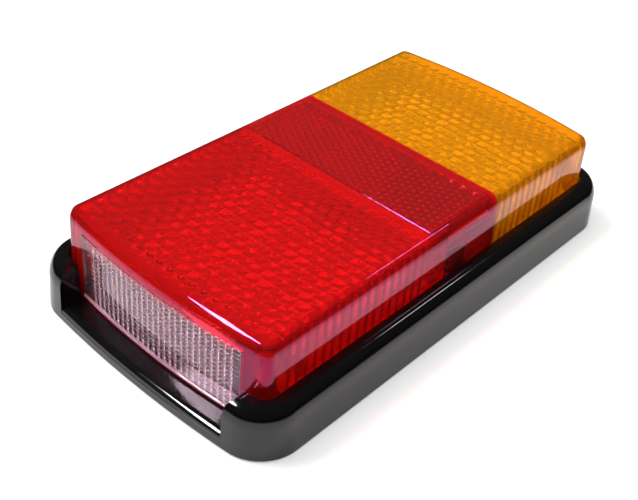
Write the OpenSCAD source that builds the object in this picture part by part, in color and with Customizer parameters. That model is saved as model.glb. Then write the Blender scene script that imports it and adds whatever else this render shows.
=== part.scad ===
// Rear combination lamp for a trailer or truck: stop and tail light, reflector,
// direction indicator and number plate light in one sealed, surface mounted housing.
// X is the lamp's width, Y its length towards the indicator end, Z points out of the lens.
// The origin is the centre of the flat back face.

/* [Base housing] */
// Length of the base from tip to tip of its bowed ends
base_length = 150; // [146:1:170]
// Width of the base
base_width = 84; // [80:1:100]
// Height of the base rim above the back face
rim_height = 14.8; // [13:0.2:18]
// Radius of the base corners seen from the front
base_corner = 10.4; // [8:0.2:14]
// How far each end bows outward in its middle
end_bow = 2.6; // [1:0.1:4]
// How far the side walls lean in between the back and the shoulder
base_draft = 0.4; // [0:0.1:1]
// Width of the rounded shoulder on the outer edge of the rim
shoulder_width = 3.4; // [2:0.1:4]
// Height of the rounded shoulder on the outer edge of the rim
shoulder_height = 5.6; // [3:0.1:7]
// Radius of the rim's inner edge beside the lens
rim_edge = 0.7; // [0.3:0.1:1.2]
// Thickness of the housing floor
floor_thick = 2.6; // [2:0.1:4]
// Depth of the cored pockets in the back face
back_recess = 0.8; // [0.3:0.1:1.2]
// Width of the flat land round the back face
back_land = 9; // [5:0.5:12]
// Width of the ribs that cross the back face
back_rib = 4; // [2:0.5:8]

/* [Number plate notch] */
// Gap between the window's edge and the side of the notch in the rim
notch_gap = 1.3; // [0.8:0.1:3]
// Height of the sill left standing below the notch
sill_height = 4.4; // [4:0.1:6]
// Radius of the sill's outer edge
sill_round = 2; // [0.8:0.1:2.4]
// Radius of the rim where it drops into the notch
notch_round = 2.6; // [1:0.1:4]

/* [Lens] */
// Height of the lens top above the back face
lamp_height = 29.2; // [26:0.2:34]
// Distance from the outer face of the base to the lens wall
rim_margin = 6.3; // [5.5:0.1:7]
// Radius of the lens corners seen from the front
lens_corner = 2.6; // [2:0.1:6]
// How far the lens walls lean in from foot to top
lens_draft = 0.4; // [0:0.1:1]
// Width of the rounded top edge of the lens
edge_width = 2.8; // [1.5:0.1:3]
// Height of the rounded top edge of the lens
edge_height = 4.4; // [2:0.1:5]
// Thickness of the lens walls
lens_wall = 2; // [1.5:0.1:2.5]
// Thickness of the lens top
lens_top = 2.2; // [1.8:0.1:3]
// Length of the amber lens
amber_length = 49.3; // [46:0.1:56]
// Clearance between the lens foot and the housing
lens_clearance = 0.35; // [0.2:0.05:0.6]

/* [Lens optics] */
// Width of one moulded pillow under the lens top
pillow_width = 3.5; // [3:0.1:6]
// Length of one moulded pillow under the lens top
pillow_length = 3; // [2.6:0.1:6]
// Depth of the pillows below the lens top
pillow_depth = 0.4; // [0.3:0.1:1.2]
// Spacing of the upright flutes inside the side walls
flute_pitch = 2.95; // [2.4:0.05:5]
// Depth of the flutes
flute_depth = 0.7; // [0.3:0.1:0.9]

/* [Reflex reflector] */
// Distance from the lens's side wall to the reflector plate
reflector_margin = 2.7; // [2.7:0.1:8]
// Length of the reflector plate
reflector_length = 25.4; // [22:0.2:27]
// How far the reflector stands above the lens top
reflector_rise = 0.35; // [0.1:0.05:0.6]
// Depth of the seat for the reflector plate in the lens top
reflector_seat = 1.2; // [0.8:0.1:1.4]
// Width of the ledge that carries the plate
reflector_ledge = 1.8; // [1.2:0.1:3]
// Spacing of the prisms under the plate
prism_pitch = 2.2; // [2:0.1:4]
// Depth of the prisms
prism_depth = 1; // [0.5:0.1:1.3]
// Thickness of the plate that closes the air space behind the prisms
backplate_thick = 1.2; // [0.8:0.1:2]
// Height of the air space frame under the lens top
backplate_drop = 2.9; // [2:0.1:4]

/* [Number plate window] */
// Distance from the lens's side wall to the clear window
window_margin = 7.7; // [7:0.1:12]
// Lower edge of the window above the back face
window_bottom = 4.7; // [4.6:0.1:7]
// Upper edge of the window above the back face
window_top = 24.4; // [18:0.2:24.6]
// Spacing of the upright ribs inside the window
rib_pitch = 1.93; // [1.6:0.01:4]
// Depth of the window ribs
rib_depth = 0.8; // [0.3:0.1:1.2]
// Gap all round the window, filled by the weld
weld_gap = 0.05; // [0.02:0.01:0.15]

/* [Circuit board] */
// Thickness of the boards
board_thick = 1.6; // [1:0.1:2]
// Height of the board's underside above the back face
board_level = 7.2; // [7:0.1:8.5]
// Distance from the near lens tip to the upright plate light board
plate_board_setback = 9; // [8.6:0.1:10]
// Height of the plate light board
plate_board_height = 13; // [11:0.5:16]
// Distance from the window's edge to the edge of the plate light board
plate_board_margin = 3; // [2:0.1:6]
// Radius of the bosses that carry the board
boss_radius = 2.8; // [2.4:0.1:3]
// Distance from the lens's inner wall to the board screws
screw_margin = 4.6; // [4:0.1:5]
// Thread radius of the board screws
screw_radius = 1.25; // [1:0.05:1.5]
// Head radius of the board screws
screw_head_radius = 2.3; // [2:0.1:2.5]
// Height of the board screws' heads
screw_head_height = 1.6; // [1:0.1:2.4]
// Length of the board screws below the head
screw_length = 5.5; // [4:0.1:6]

/* [Light sources] */
// Width of one light emitting diode body
led_size = 7.6; // [5:0.1:8]
// Height of the diode body
led_body_height = 2.6; // [1.5:0.1:3]
// Radius of the diode dome
led_dome = 2.5; // [1.5:0.1:2.8]
// Spacing of the diodes across the lamp
led_pitch_x = 13.5; // [10:0.1:13.8]
// Spacing of the diodes along the lamp
led_pitch_y = 12.4; // [10:0.1:12.8]
// Spacing of the diodes on the plate light board
plate_led_pitch = 16; // [12:0.5:20]

/* [Wire header] */
// Spacing of the ways in the wire header
header_pitch = 3.5; // [2.5:0.1:5]
// Depth of the wire header
header_depth = 6; // [5:0.1:8]
// Height of the wire header
header_height = 6.5; // [5:0.1:8]
// Number of ways in the wire header
header_ways = 4; // [2:1:5]

/* [Mounting inserts] */
// Distance between the two threaded inserts
insert_spacing = 100; // [90:1:110]
// Outer radius of the inserts
insert_radius = 3.5; // [3.2:0.1:4]
// Core radius of the thread in the inserts
thread_radius = 2.1; // [1.6:0.1:2.6]
// Length of the inserts
insert_length = 6; // [5:0.1:6.2]
// Depth of the thread in the inserts
thread_depth = 5.2; // [4:0.1:5.6]
// Wall of the bosses round the inserts
insert_wall = 2.4; // [1.5:0.1:4]

/* [Cable entry] */
// Radius of the cable that the grommet takes
cable_radius = 2.75; // [2:0.05:3.5]
// Radius of the grommet where it passes through the floor
grommet_radius = 5.6; // [5:0.1:6.5]
// How far the grommet's lips reach past the hole
grommet_lip = 1.9; // [1:0.1:2.5]
// Thickness of the grommet's inner lip
grommet_inner_lip = 1.6; // [1:0.1:2]

/* [Hidden] */
$fn = 48;

half_width = base_width / 2;
half_length = base_length / 2;
floor_top = floor_thick;
corner_steps = 7;
end_steps = 12;
round_steps = 6;
cut = 1;
notch_draft = 0.2;
notch_lift = 0.05;

// The lens foot stands on the seal, in the groove between the rim and a low upstand
seal_thick = 0.8;
seal_slack = 0.05;
lens_foot = floor_top + seal_thick;
lens_half_w = half_width - rim_margin;
lens_half_l = half_length - rim_margin;
lens_ceiling = lamp_height - lens_top;
foot_inset = lens_wall + lens_draft + flute_depth;
upstand_inset = foot_inset + lens_clearance;
upstand_thick = 1.2;
upstand_height = 1.6;

// Places along the lamp, from the near end with the window to the far amber end
joint_y = lens_half_l - amber_length;
joint_wall = 1.6;
reflector_far_y = joint_y - joint_wall;
reflector_near_y = reflector_far_y - reflector_length;
reflector_mid_y = (reflector_far_y + reflector_near_y) / 2;

// The air space frame hangs under the reflector ledge
frame_wall = 1.4;
frame_bottom = lens_ceiling - backplate_drop;

// Inner walls of the lens
inner_half_w = lens_half_w - foot_inset;
inner_half_l = lens_half_l - lens_wall;
window_width = 2 * (lens_half_w - window_margin);
notch_width = window_width + 2 * notch_gap;
reflector_width = 2 * (lens_half_w - reflector_margin);
optic_margin = 1.2;
optic_sink = 0.6;

// The boards
board_inset = foot_inset + lens_clearance + 0.3;
board_top = board_level + board_thick;
plate_board_y = -lens_half_l + plate_board_setback;
plate_board_z = sill_height + 0.4;
slot_block = 4;
slot_gap = 0.15;
slot_height = 6;
board_gap = 0.3;
board_near_y = plate_board_y + (board_thick + slot_block) / 2 + board_gap;
plate_board_width = window_width - 2 * plate_board_margin;
screw_x = inner_half_w - screw_margin;
screw_rows = [board_near_y + 6, reflector_mid_y - 5, (joint_y + inner_half_l) / 2 + 7.3];
screw_slot = 0.5;
pilot_gap = 0.02;

// The diodes: as many as fit between the screws and in the length of each field
led_margin = 0.5;
function led_count(space, pitch) = max(1, floor((space - led_size - 2 * led_margin) / pitch) + 1);
led_columns = led_count(2 * (screw_x - screw_head_radius), led_pitch_x);
stop_rows = led_count(reflector_near_y - board_near_y, led_pitch_y);
indicator_rows = led_count(inner_half_l - end_bow - joint_y, led_pitch_y);
plate_leds = led_count(plate_board_width - 2 * slot_block, plate_led_pitch);
stop_count = led_columns * stop_rows;
indicator_count = led_columns * indicator_rows;
stop_mid_y = (board_near_y + reflector_near_y) / 2;
indicator_mid_y = (joint_y + inner_half_l - end_bow) / 2;
led_corner = 1.2;
led_dome_rise = 0.4;

// Small parts stand under the reflector, where no light is needed, in from the lens's inner wall
parts_y = reflector_mid_y + 4;
chip_x = 13.1 - inner_half_w;
diode_x = inner_half_w - 14.5;
capacitor_x = inner_half_w - 7.6;
header_setback = 4;
header_wall = 1.2;
resistor_count = 6;
resistor_pitch = 4.2;

// The grommet sits at the middle of the back
grommet_y = 0;
grommet_outer_lip = back_recess - 0.1;
wire_hole = 4.5;

insert_names = ["mount_insert_near", "mount_insert_far"];

// A quarter of a circle, counter-clockwise from an angle
function quarter(centre, radius, from) =
    [for (i = [0:corner_steps])
        let (a = from + 90 * i / corner_steps)
        [centre.x + radius * cos(a), centre.y + radius * sin(a)]];

// Points along a straight end from corner to corner, without its first and last point
function end_points(from_x, y) =
    [for (i = [1:end_steps - 1]) [from_x * (1 - 2 * i / end_steps), y]];

// Pushes the points of an end outward by the bow
function bowed(points, half_w, side) =
    [for (p = points) [p.x, p.y + side * end_bow * (1 - pow(p.x / half_w, 2))]];

// One end of the lamp's outline with its two corners; side is 1 at the far end, -1 at the near end
function outline_end(half_w, half_l, radius, side) =
    let (cx = side * (half_w - radius), cy = side * (half_l - end_bow - radius))
    bowed(concat(
        quarter([cx, cy], radius, side > 0 ? 0 : 180),
        end_points(cx, side * (half_l - end_bow)),
        quarter([-cx, cy], radius, side > 0 ? 90 : 270)
    ), half_w, side);

// The whole outline seen from the front
function outline(half_w, half_l, radius) =
    concat(outline_end(half_w, half_l, radius, 1), outline_end(half_w, half_l, radius, -1));

// The outline of the base, moved in by an inset
function base_outline(inset) =
    outline(half_width - inset, half_length - inset, max(base_corner - inset, lens_corner));

// The outline of the lens, moved in by an inset
function lens_outline(inset) =
    outline(lens_half_w - inset, lens_half_l - inset, max(lens_corner - inset, 1.2));

function raised(points, z) = [for (p = points) [p.x, p.y, z]];

// Lean of the lens wall at a height
function lens_lean(z) = lens_draft * (z - lens_foot) / (lamp_height - edge_height - lens_foot);

// Near face of the lens at a place across the lamp and a height
function near_face(x, z) =
    -lens_half_l + lens_lean(z) + end_bow * pow(x / lens_half_w, 2);

// Skins a stack of outlines with the same number of points
module loft(rings) {
    n = len(rings[0]);
    last = (len(rings) - 1) * n;
    polyhedron(
        points = [for (ring = rings) each ring],
        faces = concat(
            [[for (i = [0:n - 1]) i]],
            [[for (i = [n - 1:-1:0]) last + i]],
            [for (j = [0:n:last - n], i = [0:n - 1])
                let (k = (i + 1) % n)
                each [[j + i, j + n + i, j + n + k], [j + i, j + n + k, j + k]]]
        )
    );
}

// A quarter ellipse as [inset, height] steps, from a wall up to a flat top
function shoulder(width, height, lean, top) =
    [for (i = [0:round_steps])
        let (a = 90 * i / round_steps)
        [lean + width * (1 - cos(a)), top - height * (1 - sin(a))]];

// Outer form of the housing
module base_form() {
    edge = 0.4;
    profile = concat(
        [[edge, 0], [0, edge]],
        shoulder(shoulder_width, shoulder_height, base_draft, rim_height)
    );
    loft([for (p = profile) raised(base_outline(p[0]), p[1])]);
}

// Outer form of the whole lens, red and amber
module lens_form() {
    profile = concat(
        [[0, lens_foot]],
        shoulder(edge_width, edge_height, lens_draft, lamp_height)
    );
    loft([for (p = profile) raised(lens_outline(p[0]), p[1])]);
}

// Hollow of the housing: straight walls round the lens foot and a rounded mouth
module base_hollow() {
    gap = lens_clearance;
    profile = [for (i = [0:3])
        let (a = 30 * i)
        [-gap - rim_edge * (1 - cos(a)), rim_height - rim_edge * (1 - sin(a))]];
    rings = concat([[-gap, floor_top]], profile, [[-gap - rim_edge, rim_height + cut]]);
    loft([for (p = rings) raised(lens_outline(p[0]), p[1])]);
}

// Cuts the notch in front of the window, with a rounded sill and rounded rim ends beside it.
// Each station across the lamp is [x, height of the cut's floor].
module notch_cutter() {
    inner_y = half_length - rim_margin - 2 * end_bow - cut;
    half_notch = notch_width / 2;
    foot = half_notch - notch_draft;
    rounding = [for (i = [0:round_steps])
        let (a = 90 * i / round_steps)
        [half_notch + notch_round * (1 - cos(a)), rim_height - notch_round + (notch_round + notch_lift) * sin(a)]];
    middle = [for (i = [0:end_steps]) [foot * (1 - 2 * i / end_steps), sill_height]];
    stations = concat(
        [for (i = [round_steps:-1:0]) rounding[i]],
        middle,
        [for (r = rounding) [-r[0], r[1]]]
    );
    loft([for (s = stations)
        let (
            x = s[0],
            bow = end_bow * pow(x / half_width, 2),
            drop = sill_round * (1 - 0.95 * (s[1] - sill_height) / (rim_height + notch_lift - sill_height))
        )
        concat(
            [[x, bow - inner_y, rim_height + cut], [x, bow - inner_y, s[1]]],
            [for (i = [0:round_steps])
                let (a = 90 * i / round_steps)
                [x, bow - half_length + base_draft / 2 + drop * (1 - sin(a)), s[1] - drop * (1 - cos(a))]],
            [[x, bow - half_length - cut, s[1] - drop], [x, bow - half_length - cut, rim_height + cut]]
        )]);
}

// Shallow pockets that leave a land, cross ribs and pads on the back face
module back_pockets() {
    difference() {
        translate([0, 0, -cut])
            linear_extrude(back_recess + cut)
                polygon(base_outline(back_land));
        translate([-back_rib / 2, -half_length, -2 * cut])
            cube([back_rib, base_length, back_recess + 3 * cut]);
        for (y = [-insert_spacing / 4, insert_spacing / 4])
            translate([-half_width, y - back_rib / 2, -2 * cut])
                cube([base_width, back_rib, back_recess + 3 * cut]);
        for (y = [-insert_spacing / 2, insert_spacing / 2])
            translate([0, y, -2 * cut])
                cylinder(r = insert_radius + insert_wall, h = back_recess + 3 * cut);
    }
    translate([0, grommet_y, -cut])
        cylinder(r = grommet_radius + grommet_lip + 1, h = back_recess + cut);
}

// Low wall that keeps the lens foot in its groove
module upstand() {
    linear_extrude(upstand_height)
        difference() {
            polygon(lens_outline(upstand_inset));
            polygon(lens_outline(upstand_inset + upstand_thick));
        }
}

// Block with a slot that holds one edge of the plate light board
module slot_post(side) {
    slot = board_thick + 2 * slot_gap;
    x = side * (plate_board_width / 2 - slot_block / 2);
    translate([x, plate_board_y + board_thick / 2, floor_top - 0.5])
        difference() {
            translate([-slot_block / 2, -slot_block / 2, 0])
                cube([slot_block, slot_block, slot_height + 0.5]);
            translate([-slot_block, -slot / 2, plate_board_z - floor_top + 0.5])
                cube([2 * slot_block, slot, slot_height]);
        }
}

module base_housing() {
    color([0.06, 0.06, 0.07]) difference() {
        union() {
            difference() {
                base_form();
                base_hollow();
                notch_cutter();
            }
            translate([0, 0, floor_top])
                upstand();
            for (x = [-screw_x, screw_x], y = screw_rows)
                translate([x, y, floor_top - 0.5])
                    cylinder(r = boss_radius, h = board_level - floor_top + 0.5);
            for (y = [-insert_spacing / 2, insert_spacing / 2])
                translate([0, y, floor_top - 0.5])
                    cylinder(r = insert_radius + insert_wall, h = insert_length - floor_top + 1);
            for (side = [-1, 1])
                slot_post(side);
        }
        back_pockets();
        for (x = [-screw_x, screw_x], y = screw_rows)
            translate([x, y, board_top - screw_length])
                cylinder(r = screw_radius + pilot_gap, h = screw_length);
        for (y = [-insert_spacing / 2, insert_spacing / 2])
            translate([0, y, -cut])
                cylinder(r = insert_radius + pilot_gap, h = insert_length + cut);
        translate([0, grommet_y, -cut])
            cylinder(r = grommet_radius, h = floor_top + 2 * cut);
    }
}

// Zigzag flutes along one straight side, walked from one place to another
function flutes(x, from_y, to_y) =
    let (
        n = floor(abs(to_y - from_y) / flute_pitch),
        step = sign(to_y - from_y) * flute_pitch,
        tooth = sign(x) * flute_depth
    )
    [for (i = [0:n - 1]) each [[x, from_y + i * step], [x - tooth, from_y + (i + 0.5) * step]]];

// Hollow of a lens with flutes along its sides between two places
module lens_hollow(flutes_near, flutes_far) {
    w = lens_half_w - lens_wall - lens_draft;
    translate([0, 0, lens_foot - cut])
        linear_extrude(lens_ceiling - lens_foot + cut)
            polygon(concat(
                outline_end(w, inner_half_l, lens_corner, 1),
                flutes(-w, flutes_far, flutes_near),
                outline_end(w, inner_half_l, lens_corner, -1),
                flutes(w, flutes_near, flutes_far)
            ));
}

// A slab whose lower face is laid with pillows in brick bond; each pillow is a shallow pyramid.
// The near and far edges can follow the bowed ends.
module pillow_pad(size, mid, root, depth, sink, columns, rows, near_bow, far_bow) {
    cols = 2 * columns;
    span = cols + 1;
    function px(i) = mid.x + size.x * (i / cols - 0.5);
    function bend(i) = 1 - pow(2 * i / cols - 1, 2);
    function py(i, j) =
        mid.y + size.y * (j / rows - 0.5)
        - near_bow * bend(i) * (1 - j / rows) + far_bow * bend(i) * j / rows;
    // A straight edge has two upper corners, a bowed edge has one above each half step
    near_steps = near_bow == 0 ? [0, cols] : [for (i = [0:cols]) i];
    far_steps = far_bow == 0 ? [0, cols] : [for (i = [0:cols]) i];
    // First and last half step of each pillow in a row
    function bricks(j) = j % 2 == 0
        ? [for (k = [0:columns - 1]) [2 * k, 2 * k + 2]]
        : concat([[0, 1]], [for (k = [0:columns - 2]) [2 * k + 1, 2 * k + 3]], [[cols - 1, cols]]);
    pillows = [for (j = [0:rows - 1], b = bricks(j)) [b[0], b[1], j]];
    corners = [for (j = [0:rows], i = [0:cols]) [px(i), py(i, j), root]];
    peaks = [for (b = pillows)
        let (i = (b[0] + b[1]) / 2)
        [px(i), py(i, b[2] + 0.5), root - depth]];
    near_top = [for (i = near_steps) [px(i), py(i, 0), root + sink]];
    far_top = [for (i = far_steps) [px(i), py(i, rows), root + sink]];
    peak_0 = len(corners);
    near_0 = peak_0 + len(peaks);
    far_0 = near_0 + len(near_top);
    function rim(b) = concat(
        [for (i = [b[0]:b[1]]) b[2] * span + i],
        [for (i = [b[1]:-1:b[0]]) (b[2] + 1) * span + i]);
    pillow_faces = [for (p = [0:len(pillows) - 1])
        let (r = rim(pillows[p]), n = len(r))
        for (k = [0:n - 1]) [r[k], r[(k + 1) % n], peak_0 + p]];
    near_last = near_0 + len(near_top) - 1;
    far_last = far_0 + len(far_top) - 1;
    far_row = rows * span;
    near_faces = near_bow == 0
        ? [concat([near_0, near_last], [for (i = [cols:-1:0]) i])]
        : [for (i = [0:cols - 1]) [near_0 + i, near_0 + i + 1, i + 1, i]];
    far_faces = far_bow == 0
        ? [concat([far_last, far_0], [for (i = [0:cols]) far_row + i])]
        : [for (i = [0:cols - 1]) [far_0 + i + 1, far_0 + i, far_row + i, far_row + i + 1]];
    left_face = concat([far_0, near_0], [for (j = [0:rows]) j * span]);
    right_face = concat([near_last, far_last], [for (j = [rows:-1:0]) j * span + cols]);
    top_face = concat([for (i = [far_0:far_last]) i], [for (i = [near_last:-1:near_0]) i]);
    polyhedron(
        points = concat(corners, peaks, near_top, far_top),
        faces = concat(pillow_faces, near_faces, far_faces, [left_face, right_face, top_face])
    );
}

// Pillows over one lamp field between two places along the lamp
module field_pillows(near_y, far_y, near_bow, far_bow) {
    size = [2 * (inner_half_w - optic_margin), far_y - near_y];
    pillow_pad(
        size, [0, (near_y + far_y) / 2], lens_ceiling - 0.15, pillow_depth, optic_sink,
        floor(size.x / pillow_width), floor(size.y / pillow_length), near_bow, far_bow
    );
}

// Everything on one side of a place along the lamp
module lamp_part(from_y, to_y) {
    translate([-half_width, from_y, 0])
        cube([base_width, to_y - from_y, 2 * lamp_height]);
}

// Everything from the lens foot up to just above the board, under the wall at the joint
module board_way() {
    translate([-half_width, joint_y - joint_wall - cut, 0])
        cube([base_width, joint_wall + 2 * cut, board_top + board_gap]);
}

// Opening in the near wall for the window
module window_opening() {
    translate([-window_width / 2, -half_length, window_bottom])
        cube([window_width, rim_margin + end_bow + lens_wall + cut, window_top - window_bottom]);
}

// A box centred on the reflector
module reflector_block(inset, bottom, top) {
    w = reflector_width - 2 * inset;
    translate([-w / 2, reflector_near_y + inset, bottom])
        cube([w, reflector_length - 2 * inset, top - bottom]);
}

module lens_red() {
    near_field = -inner_half_l + end_bow + optic_margin;
    color([0.78, 0.05, 0.09]) difference() {
        union() {
            difference() {
                intersection() {
                    lens_form();
                    lamp_part(-half_length, joint_y);
                }
                intersection() {
                    lens_hollow(-inner_half_l + 2 * end_bow + lens_corner, reflector_near_y);
                    union() {
                        lamp_part(-half_length, joint_y - joint_wall);
                        board_way();
                    }
                }
                window_opening();
            }
            field_pillows(near_field, reflector_near_y - optic_margin, end_bow * 0.8, 0);
            reflector_block(reflector_ledge - frame_wall, frame_bottom, lens_ceiling + 0.2);
        }
        reflector_block(0, lamp_height - reflector_seat, lamp_height + cut);
        reflector_block(reflector_ledge, frame_bottom - cut, lamp_height);
    }
}

module lens_amber() {
    far_field = inner_half_l - end_bow - optic_margin;
    color([0.93, 0.58, 0.05]) union() {
        difference() {
            intersection() {
                lens_form();
                lamp_part(joint_y, half_length);
            }
            lens_hollow(joint_y + optic_margin, inner_half_l - 2 * end_bow - lens_corner);
        }
        field_pillows(joint_y + optic_margin, far_field, 0, end_bow * 0.8);
    }
}

// Plate with softened top edges and rows of prisms behind it
module reflex_reflector() {
    slack = weld_gap;
    w = reflector_width - 2 * slack;
    l = reflector_length - 2 * slack;
    bottom = lamp_height - reflector_seat;
    top = lamp_height + reflector_rise;
    prism_w = l - 2 * reflector_ledge - 1.2;
    prism_l = w - 2 * reflector_ledge - 1.2;
    profile = concat(
        [[0, bottom]],
        [for (i = [0:3]) [reflector_rise * (1 - cos(30 * i)), top - reflector_rise * (1 - sin(30 * i))]]
    );
    color([0.62, 0.04, 0.08]) translate([0, reflector_mid_y, 0]) union() {
        loft([for (p = profile)
            let (x = w / 2 - p[0], y = l / 2 - p[0])
            [[x, -y, p[1]], [x, y, p[1]], [-x, y, p[1]], [-x, -y, p[1]]]]);
        rotate([0, 0, 90])
            pillow_pad(
                [prism_w, prism_l], [0, 0], bottom - 0.05, prism_depth, optic_sink,
                floor(prism_w / prism_pitch), floor(prism_l / (prism_pitch * cos(30))), 0, 0
            );
    }
}

module reflector_backplate() {
    color([0.35, 0.35, 0.37])
        reflector_block(reflector_ledge - frame_wall, frame_bottom - backplate_thick, frame_bottom);
}

// Clear window that follows the bowed lens wall, with upright ribs behind
module plate_window() {
    w = window_width - 2 * weld_gap;
    mid_z = (window_bottom + window_top) / 2;
    ribs = floor((w - 2) / rib_pitch);
    start = -ribs * rib_pitch / 2;
    front = [for (i = [0:end_steps]) let (x = w * (i / end_steps - 0.5)) [x, near_face(x, mid_z)]];
    back = concat(
        [[w / 2, near_face(w / 2, mid_z) + lens_wall]],
        [for (i = [ribs:-1:1]) each [
            let (x = start + i * rib_pitch) [x, near_face(x, mid_z) + lens_wall],
            let (x = start + (i - 0.5) * rib_pitch) [x, near_face(x, mid_z) + lens_wall + rib_depth]]],
        [[start, near_face(start, mid_z) + lens_wall]],
        [[-w / 2, near_face(w / 2, mid_z) + lens_wall]]
    );
    color([0.9, 0.92, 0.94]) translate([0, 0, window_bottom + weld_gap])
        linear_extrude(window_top - window_bottom - 2 * weld_gap)
            polygon(concat(front, back));
}

module lens_seal() {
    color([0.12, 0.12, 0.12]) translate([0, 0, floor_top])
        linear_extrude(seal_thick)
            difference() {
                polygon(lens_outline(-lens_clearance + seal_slack));
                polygon(lens_outline(upstand_inset - seal_slack));
            }
}

module circuit_board() {
    color([0.9, 0.91, 0.88]) translate([0, 0, board_level])
        difference() {
            linear_extrude(board_thick)
                polygon(lens_outline(board_inset));
            translate([-half_width, -half_length, -cut])
                cube([base_width, half_length + board_near_y, board_thick + 2 * cut]);
            for (x = [-screw_x, screw_x], y = screw_rows)
                translate([x, y, -cut])
                    cylinder(r = screw_radius + 0.25, h = board_thick + 2 * cut);
            translate([0, grommet_y, -cut])
                cylinder(r = wire_hole, h = board_thick + 2 * cut);
        }
}

module plate_light_board() {
    color([0.9, 0.91, 0.88])
        translate([-plate_board_width / 2, plate_board_y, plate_board_z])
            cube([plate_board_width, board_thick, plate_board_height]);
}

// Pan head screws with a cross slot, one at each boss
module board_screws() {
    color([0.7, 0.7, 0.72])
        for (x = [-screw_x, screw_x], y = screw_rows)
            translate([x, y, board_top]) {
                difference() {
                    cylinder(r1 = screw_head_radius, r2 = screw_head_radius * 0.8, h = screw_head_height);
                    for (a = [0, 90])
                        rotate([0, 0, a])
                            translate([-screw_head_radius * 0.6, -screw_slot / 2, screw_head_height / 2])
                                cube([screw_head_radius * 1.2, screw_slot, screw_head_height]);
                }
                translate([0, 0, -screw_length + 0.2])
                    cylinder(r = screw_radius, h = screw_length - 0.2);
            }
}

// Brass insert moulded into the back, open to the mounting face
module mount_insert(side) {
    color([0.78, 0.6, 0.28]) translate([0, side * insert_spacing / 2, 0])
        difference() {
            cylinder(r = insert_radius, h = insert_length);
            translate([0, 0, -cut])
                cylinder(r = thread_radius, h = thread_depth + cut);
        }
}

// Rubber grommet that grips the floor of the housing and the cable
module cable_grommet() {
    lip = grommet_radius + grommet_lip;
    inner = floor_top + grommet_inner_lip;
    color([0.1, 0.1, 0.1]) translate([0, grommet_y, 0])
        rotate_extrude()
            polygon([
                [cable_radius, back_recess - grommet_outer_lip], [lip, back_recess - grommet_outer_lip],
                [lip, back_recess], [grommet_radius, back_recess], [grommet_radius, floor_top],
                [lip, floor_top], [lip - 0.5, inner], [cable_radius, inner]
            ]);
}

// Header for the lamp's wires, one socket for each way
module wire_header() {
    width = header_ways * header_pitch;
    color([0.93, 0.92, 0.86]) translate([-width / 2, parts_y - header_depth / 2 + header_setback, board_top])
        difference() {
            cube([width, header_depth, header_height]);
            for (i = [0:header_ways - 1])
                translate([(i + 0.5) * header_pitch - header_wall, header_wall, header_height / 3])
                    cube([2 * header_wall, header_depth - 2 * header_wall, header_height]);
        }
}

module driver_chip() {
    body = [5, 4, 1.6];
    color([0.12, 0.12, 0.13]) translate([chip_x - body.x / 2, parts_y - body.y / 2, board_top]) {
        cube(body);
        for (i = [0:3], side = [-1, 1])
            translate([0.4 + i * 1.27, side > 0 ? body.y : -0.9, 0])
                cube([0.42, 0.9, 0.25]);
    }
}

module resistors() {
    body = [3.2, 1.6, 0.6];
    color([0.15, 0.15, 0.17])
        for (i = [0:resistor_count - 1])
            translate([(i - (resistor_count - 1) / 2) * resistor_pitch - body.x / 2, parts_y - 13, board_top])
                cube(body);
}

module surge_diode() {
    body = [5.2, 3.4, 2.2];
    color([0.1, 0.1, 0.11]) translate([diode_x - body.x / 2, parts_y - body.y / 2, board_top])
        cube(body);
}

module capacitor() {
    color([0.72, 0.73, 0.75]) translate([capacitor_x, parts_y, board_top]) {
        cylinder(r = 3.15, h = 5.4);
        translate([-3.3, -3.3, 0])
            cube([6.6, 6.6, 0.8]);
    }
}

// Square diode body with cut corners and a domed lens, its back at the origin
module led_shape() {
    a = led_size / 2;
    c = led_corner;
    linear_extrude(led_body_height)
        polygon([[a - c, -a], [a, c - a], [a, a - c], [a - c, a], [c - a, a], [-a, a - c], [-a, c - a], [c - a, -a]]);
    translate([0, 0, led_body_height + led_dome_rise - led_dome * 0.6])
        intersection() {
            sphere(r = led_dome);
            translate([-led_dome, -led_dome, led_dome * 0.6 - led_dome_rise - 0.2])
                cube(2 * led_dome);
        }
}

// Place of one diode in a field, counted row by row
function led_x(i) = ((i - 1) % led_columns - (led_columns - 1) / 2) * led_pitch_x;
function led_row(i, rows) = (floor((i - 1) / led_columns) - (rows - 1) / 2) * led_pitch_y;

module stop_led(i) {
    color([0.95, 0.35, 0.35]) translate([led_x(i), stop_mid_y + led_row(i, stop_rows), board_top])
        led_shape();
}

module indicator_led(i) {
    y = indicator_mid_y + led_row(i, indicator_rows);
    color([0.95, 0.8, 0.4]) translate([led_x(i), y, board_top])
        led_shape();
}

module plate_led(i) {
    x = (i - (plate_leds + 1) / 2) * plate_led_pitch;
    color([0.93, 0.93, 0.88])
        translate([x, plate_board_y, plate_board_z + plate_board_height / 2 + 1])
            rotate([90, 0, 0])
                led_shape();
}

base_housing();
lens_red();
lens_amber();
reflex_reflector();
reflector_backplate();
plate_window();
lens_seal();
circuit_board();
plate_light_board();
board_screws();
mount_insert(-1);  // mount_insert_near
mount_insert(1);  // mount_insert_far
cable_grommet();
wire_header();
driver_chip();
resistors();
surge_diode();
capacitor();
for (i = [1:stop_count])
    stop_led(i);
for (i = [1:indicator_count])
    indicator_led(i);
for (i = [1:plate_leds])
    plate_led(i);
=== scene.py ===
"""Rear combination lamp: looks and studio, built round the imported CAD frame.

Lengths are in metres, in the CAD frame: X across the lamp, Y towards the amber end, Z out of the lens.
"""

import bmesh
import bpy
import numpy as np
from bpy.props import FloatProperty, FloatVectorProperty, PointerProperty, StringProperty
from mathutils import Matrix, Vector


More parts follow.
